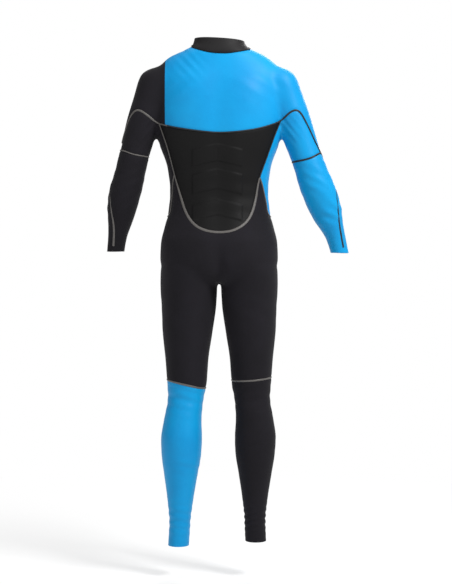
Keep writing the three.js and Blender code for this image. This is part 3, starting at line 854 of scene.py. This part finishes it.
def tape(name, lines, holder, half=TAPE_HALF, slot="seam_tape", dark=None):
    """Welded tape: a low rounded strip along each line of a seam, dark where the test says so.

    half is its half width, or gives one for each height."""
    points = []
    faces = []
    for raw in lines:
        closed = bool(np.linalg.norm(raw[0, :3] - raw[-1, :3]) < 0.006)
        line = evened(raw[:-1] if closed else raw, 0.004, closed)
        p, n = line[:, :3], line[:, 3:]
        tangent = np.roll(p, -1, 0) - np.roll(p, 1, 0)
        if not closed:
            tangent[0] = p[1] - p[0]
            tangent[-1] = p[-1] - p[-2]
        across = np.cross(tangent, n)
        across /= np.linalg.norm(across, axis=1, keepdims=True)
        across *= half(p[:, 2])[:, None] if callable(half) else half
        start = len(points)
        for k in range(len(p)):
            for u, h in TAPE_PROFILE:
                points.append(p[k] + across[k] * u + n[k] * h)
        faces += ring_faces(len(p), len(TAPE_PROFILE), closed, start)
    if dark is None:
        return make_object(name, points, faces, slot, holder, (name,))
    points = np.array(points)
    is_dark = np.array([dark(*points[list(face)].mean(axis=0)) for face in faces])
    return make_object(name, points, faces, slot, holder, (name,), is_dark, other="dark_tape")


def make_knee_pad(name, leg):
    """Printed rubber over the knee: a thin pad with rounded corners, domed cells and a plain border."""
    middle = SIDES[name] * PAD_X
    centre_z = (PAD_LOW + PAD_HIGH) / 2
    half_z = (PAD_HIGH - PAD_LOW) / 2

    def inside(v):
        dx = np.abs(v[:, 0] - middle) - (PAD_HALF - PAD_CORNER)
        dz = np.abs(v[:, 2] - centre_z) - (half_z - PAD_CORNER)
        out = np.hypot(np.maximum(dx, 0), np.maximum(dz, 0)) + np.minimum(np.maximum(dx, dz), 0)
        return np.where(v[:, 1] > 0, PAD_CORNER - out, -1.0)

    pad, _, _ = split(leg, inside)
    pad = refined(refined(pad))
    v, n, t = pad["v"], pad["n"], pad["t"]
    pitch = 0.0095
    row_pitch = 0.866 * pitch            # rows of cells set in a triangle grid
    row = np.round((v[:, 2] - centre_z) / row_pitch)
    across = (v[:, 0] - middle) / pitch + 0.5 * (row % 2)
    dx = (across - np.round(across)) * pitch
    dz = v[:, 2] - centre_z - row * row_pitch
    cell = ease(1 - np.hypot(dx, dz) / (0.55 * pitch))
    border = ease((inside(v) - 0.004) / 0.003)
    height = 0.0011 * ease(inside(v) / 0.0025) + 0.0009 * cell * border
    gap = 0.0003
    pad = shell(f"{name}_knee_pad", v + n * (gap + height)[:, None], v + n * gap, t,
                "pad_rubber", f"{name}_knee", (f"{name}_knee_pad",))


def where(segments, test):
    """The segments whose middle point passes a test of x, y and height."""
    middle = segments[:, :, :3].mean(axis=1)
    return segments[test(middle[:, 0], middle[:, 1], middle[:, 2])]


make_stage()
skin = make_skin()

# trims at the open ends
collar_normal = np.array([math.sin(COLLAR_TILT), 0, math.cos(COLLAR_TILT)])
skin, _, _ = split(skin, lambda v: COLLAR_TOP - v @ collar_normal / collar_normal[2])
for _name, _side in SIDES.items():
    wrist = WRIST_END[_name]
    ankle = ANKLE_END[_name]
    on_arm = lambda v: _side * v[:, 0] > 0.23
    on_leg = lambda v: (_side * v[:, 0] > 0) & (v[:, 2] < 0.3)
    skin, _, _ = split(skin, lambda v: np.where(on_arm(v), v[:, 2] - wrist, 1.0))
    skin, _, _ = split(skin, lambda v: np.where(on_leg(v), v[:, 2] - ankle, 1.0))

yoke_field = beside(YOKE_LINE)
shield_field = behind(beside(SHIELD_LINE))


def collar_field(v):
    """The collar's seam: lower over the nape and a little on the right, and curving up at the sides."""
    from_side = v[:, 1] - SIDE_Y
    lean = np.where(from_side < 0, 1.9, 1.0) * COLLAR_LEAN * from_side
    curve = ease((np.abs(v[:, 0]) - 0.010) / 0.080)
    rise = COLLAR_RISE * np.where(from_side < 0.02, curve, 1.0)
    return v[:, 2] - COLLAR_BASE - lean + COLLAR_SLANT * v[:, 0] - rise


upper, lower, yoke_cut = split(skin, yoke_field)

# collar, shoulders, yoke and chest
collar_mesh, upper, collar_cut = split(upper, collar_field)
left_shoulder, upper, _ = split(upper, lambda v: -SHOULDER_X - v[:, 0])
front_mesh, upper, _ = split(upper, lambda v: np.minimum(SHOULDER_X - v[:, 0], v[:, 1] - SIDE_Y))
yoke_mesh = upper                       # runs on over the right shoulder and sleeve

zip_window = lambda v: np.minimum(
    np.minimum(ZIP_WINDOW_X - np.abs(v[:, 0]), ZIP_WINDOW_HALF - np.abs(v[:, 2] - ZIP_Z)), v[:, 1])
_, front_mesh, _ = split(front_mesh, zip_window)

panel("collar", collar_mesh, "smooth_panel", "torso", ("collar",), (collar_field,), "collar_rubber")
panel("left_shoulder_panel", left_shoulder, "black_neoprene", "left_shoulder",
      ("left_shoulder_panel",), (yoke_field,))
panel("yoke_and_right_shoulder", yoke_mesh, "blue_neoprene", "right_shoulder",
      ("yoke_panel", "right_shoulder_panel"), (yoke_field, collar_field))
panel("chest_panel", front_mesh, "smooth_panel", "torso", ("chest_panel",), (yoke_field, collar_field))

# sleeves below the yoke line
SLEEVE_COLOUR = {"left": "black_neoprene", "right": "blue_neoprene"}
SLEEVE_TAPE = {"left": "seam_tape", "right": "dark_tape"}       # dark tape on the blue cloth
ELBOW_TAPE_HALF = {"left": 0.0019, "right": 0.0026}
SLEEVE_TAPE_HALF = 0.0028
forearm_tape_half = lambda z: 0.0018 + 0.0012 * ease((1.00 - z) / 0.08)      # wider towards the wrist
for _name, _side in SIDES.items():
    arm, lower, _ = split(lower, lambda v: _side * v[:, 0] - ARMPIT_X)
    elbow_field = beside(ELBOW_LINE[_name])
    upper_arm, forearm, elbow_cut = split(arm, elbow_field)
    hem_line = WRIST_END[_name] + WRIST_HEM
    hem, forearm, _ = split(forearm, lambda v: hem_line - v[:, 2])
    _, _, forearm_cut = split(forearm, beside(FOREARM_LINE[_name]))
    low_back = lambda x, y, z: (z < 1.03) & (y < 0.03 - (z - 0.85) * 0.2)
    forearm_cut = where(forearm_cut, low_back)
    colour = SLEEVE_COLOUR[_name]
    panel(f"{_name}_upper_sleeve", upper_arm, colour, f"{_name}_shoulder",
          (f"{_name}_upper_sleeve",), (yoke_field, elbow_field))
    panel(f"{_name}_forearm", forearm, colour, f"{_name}_elbow",
          (f"{_name}_elbow_panel", f"{_name}_forearm_panel"), (elbow_field,))
    panel(f"{_name}_wrist_hem", hem, colour, f"{_name}_forearm", (f"{_name}_wrist_hem",))
    look = SLEEVE_TAPE[_name]
    tape(f"{_name}_elbow_seam", chained(elbow_cut)[:1], f"{_name}_upper_arm",
         ELBOW_TAPE_HALF[_name], look)
    tape(f"{_name}_forearm_seam", chained(forearm_cut)[:1], f"{_name}_elbow", forearm_tape_half, look)
    sleeve_cut = where(yoke_cut, lambda x, y, z: _side * x > ARMPIT_X)
    tape(f"{_name}_sleeve_seam", chained(sleeve_cut), f"{_name}_shoulder", SLEEVE_TAPE_HALF, look)

# body below the yoke line
back_mesh, lower, shield_cut = split(lower, shield_field)
back_mesh = refined(back_mesh)
back_mesh["v"] = back_mesh["v"] + back_mesh["n"] * back_emboss(back_mesh["v"])[:, None]
panel("back_panel", back_mesh, "smooth_panel", "torso", ("back_panel",), (yoke_field, shield_field))


def side_field(name):
    """Positive on the side panel, which its seams bound behind and in front."""
    side = SIDES[name]
    field = back_or_front(beside(SIDE_BACK[name]), beside([(side * x, z) for x, z in SIDE_FRONT]))
    return lambda v: side * field(v)


side_fields = {name: side_field(name) for name in SIDES}
for _name, _side in SIDES.items():
    field = side_fields[_name]
    only_side = lambda v: np.where(_side * v[:, 0] > 0.03, field(v), -1.0)
    side_mesh, lower, side_cut = split(lower, only_side)
    panel(f"{_name}_side_panel", side_mesh, SLEEVE_COLOUR[_name], f"{_name}_shoulder",
          (f"{_name}_side_panel",), (yoke_field, shield_field, field))
    tape(f"{_name}_side_seam", chained(side_cut)[:1], "torso", 0.0019)
belly_field = before(beside(BELLY_LINE))
belly_mesh, lower, belly_cut = split(lower, belly_field)
panel("belly_panel", belly_mesh, "black_neoprene", "torso", ("belly_panel",),
      (yoke_field, belly_field, *side_fields.values()))
tape("belly_seam", chained(belly_cut)[:1], "torso", 0.0021)
hip_mesh, lower, _ = split(lower, lambda v: v[:, 2] - CROTCH)
panel("hip_panel", hip_mesh, "black_neoprene", "torso", ("hip_panel",),
      (shield_field, belly_field, *side_fields.values()))
tape("back_panel_seam", chained(shield_cut)[:1], "torso",
     lambda z: 0.0020 + 0.0016 * ease((1.10 - z) / 0.12),
     dark=lambda x, y, z: x > 0 and z > 1.066)          # dark along the blue side panel
yoke_back = where(yoke_cut, lambda x, y, z: (np.abs(x) < ARMPIT_X) & (y < 0))
yoke_front = where(yoke_cut, lambda x, y, z: (np.abs(x) < ARMPIT_X) & (y > 0))
tape("yoke_seam", chained(yoke_back)[:1], "torso", 0.0020, dark=lambda x, y, z: x > -0.148)
tape("chest_seam", chained(yoke_front)[:1], "torso")
tape("collar_seam", chained(collar_cut)[:1], "torso", 0.0016, "smooth_panel")

# legs
CALF_COLOUR = {"left": "blue_neoprene", "right": "black_neoprene"}
for _name, _side in SIDES.items():
    leg, lower, _ = split(lower, lambda v: _side * v[:, 0])
    thigh, leg, _ = split(leg, lambda v: v[:, 2] - THIGH_SPLIT)
    knee_field = beside(KNEE_LINE[_name])
    low_thigh, calf, knee_cut = split(leg, knee_field)
    hem_line = ANKLE_END[_name] + ANKLE_HEM
    hem, calf, _ = split(calf, lambda v: hem_line - v[:, 2])
    panel(f"{_name}_upper_thigh", thigh, "black_neoprene", f"{_name}_hip",
          (f"{_name}_upper_thigh_panel",))
    panel(f"{_name}_lower_thigh", low_thigh, "black_neoprene", f"{_name}_knee",
          (f"{_name}_lower_thigh_panel",), (knee_field,))
    panel(f"{_name}_calf", calf, CALF_COLOUR[_name], f"{_name}_knee",
          (f"{_name}_knee_panel", f"{_name}_calf_panel"), (knee_field,))
    panel(f"{_name}_ankle_hem", hem, CALF_COLOUR[_name], f"{_name}_shin", (f"{_name}_ankle_hem",))
    tape(f"{_name}_knee_seam", chained(knee_cut)[:1], f"{_name}_knee")
    make_knee_pad(_name, leg)


# ---- chest zip ---------------------------------------------------------------------------
def on_zip(points, angle):
    """Points given as (along towards the left arm, out, up), laid at an angle on the zip's arc."""
    p = np.asarray(points, float)
    x, y, z = -p[:, 0], ZIP_RADIUS + p[:, 1], ZIP_Z + p[:, 2]
    c, s = math.cos(angle), math.sin(angle)
    return np.column_stack([c * x - s * y, s * x + c * y + ZIP_AXIS_Y, z])


def block(size, corner, taper=1.0):
    """A box with cut corners, its far end narrowed by the taper: points (along, out, up) and faces."""
    a, b, c = (d / 2 for d in size)
    k = min(corner, b * 0.9, c * 0.9)
    rings = []
    for x, grow in ((-a, -k), (-a + k, 0), (a - k, 0), (a, -k)):
        wide = taper if x > 0 else 1.0
        bb, cc = b + grow, (c + grow) * wide
        rings.append([(x, u, w) for u, w in (
            (bb, cc - k), (bb - k, cc), (-bb + k, cc), (-bb, cc - k),
            (-bb, -cc + k), (-bb + k, -cc), (bb - k, -cc), (bb, -cc + k))])
    return np.vstack(rings), ring_faces(len(rings), 8)


def tube(path, radius, closed=False):
    """A round tube along a path: its points and faces."""
    sides = 8
    path = np.array(path, float)
    tangent = np.roll(path, -1, 0) - np.roll(path, 1, 0)
    if not closed:
        tangent[0], tangent[-1] = path[1] - path[0], path[-1] - path[-2]
    tangent /= np.linalg.norm(tangent, axis=1, keepdims=True)
    side = np.cross(tangent, (0.0, 1.0, 0.03))
    side /= np.linalg.norm(side, axis=1, keepdims=True)
    other = np.cross(tangent, side)
    points = [path[k] + radius * (math.cos(a) * side[k] + math.sin(a) * other[k])
              for k in range(len(path)) for a in np.arange(sides) / sides * 2 * math.pi]
    return np.array(points), [face[::-1] for face in ring_faces(len(path), sides, closed)]


def zip_part(name, parts, angle, holder="torso", slot="zip_plastic", sharp=30):
    points, faces = gathered(parts)
    make_object(name, on_zip(points, angle), faces, slot, holder, (name,), sharp=sharp)


def moved(part, along=0.0, out=0.0, up=0.0):
    points, faces = part
    return points + (along, out, up), faces


def make_zip():
    pitch = 0.0030
    stagger = 0.0007                     # teeth stand alternately above and below the line
    count = int(ZIP_HALF_ANGLE * ZIP_RADIUS / pitch)
    teeth = []
    for k in range(-count, count + 1):
        points, faces = block((0.0021, TEETH_PROUD, 0.0046), 0.0004)
        place = (0, TEETH_PROUD / 2 + 0.0001, stagger if k % 2 else -stagger)
        teeth.append((on_zip(points + place, k * pitch / ZIP_RADIUS), faces))
    points, faces = gathered(teeth)
    make_object("zip_teeth", points, faces, "zip_plastic", "torso", ("zip_teeth",), sharp=30)

    stop_angle = ZIP_HALF_ANGLE + math.radians(1.2)
    for name, angle in (("zip_right_stop", -stop_angle), ("zip_left_stop", stop_angle)):
        zip_part(name, [moved(block((0.004, 0.0026, 0.009), 0.0006), out=0.0013)], angle)

    # the slider: two plates, a neck between them and a bridge that holds the pull
    rest = -ZIP_HALF_ANGLE + math.radians(3.4)
    back = TEETH_PROUD + 0.0003
    parts = [moved(block((0.016, thick, 0.012), 0.0004, 0.72), out=out)
             for out, thick in ((back + 0.0007, 0.0013), (back + 0.0030, 0.0012))]
    parts.append(moved(block((0.0045, 0.0030, 0.0040), 0.0005), out=back + 0.0018))
    for up in (-0.0036, 0.0036):
        parts.append(moved(block((0.0050, 0.0014, 0.0016), 0.0004), out=back + 0.0042, up=up))
    zip_part("zip_slider", parts, rest, "zip_slider")

    # the pull: an eye at the slider's bridge and a moulded grip with ribs
    out = back + 0.005 + 0.0003 + 0.0012
    parts = [moved(block((0.0245, 0.0023, 0.0078), 0.0010, 0.86), 0.0208, out)]
    turns = np.arange(20) / 20 * 2 * math.pi
    eye = [(0.0044 + 0.0040 * math.cos(a), 0, 0.0028 * math.sin(a)) for a in turns]
    parts.append(moved(tube(eye, 0.0009, closed=True), out=out))
    for k in range(6):
        rib = [(0.0145 + 0.0030 * k, 0, w) for w in np.linspace(-0.0028, 0.0028, 5)]
        parts.append(moved(tube(rib, 0.0007), out=out + 0.0007))
    zip_part("zip_pull", parts, rest, "zip_pull", "pad_rubber", 35)

    tape_node = frame["nodes"]["zip_tape"]
    tape_node.data.materials.clear()
    tape_node.data.materials.append(MATERIALS["zip_cloth"])


make_zip()
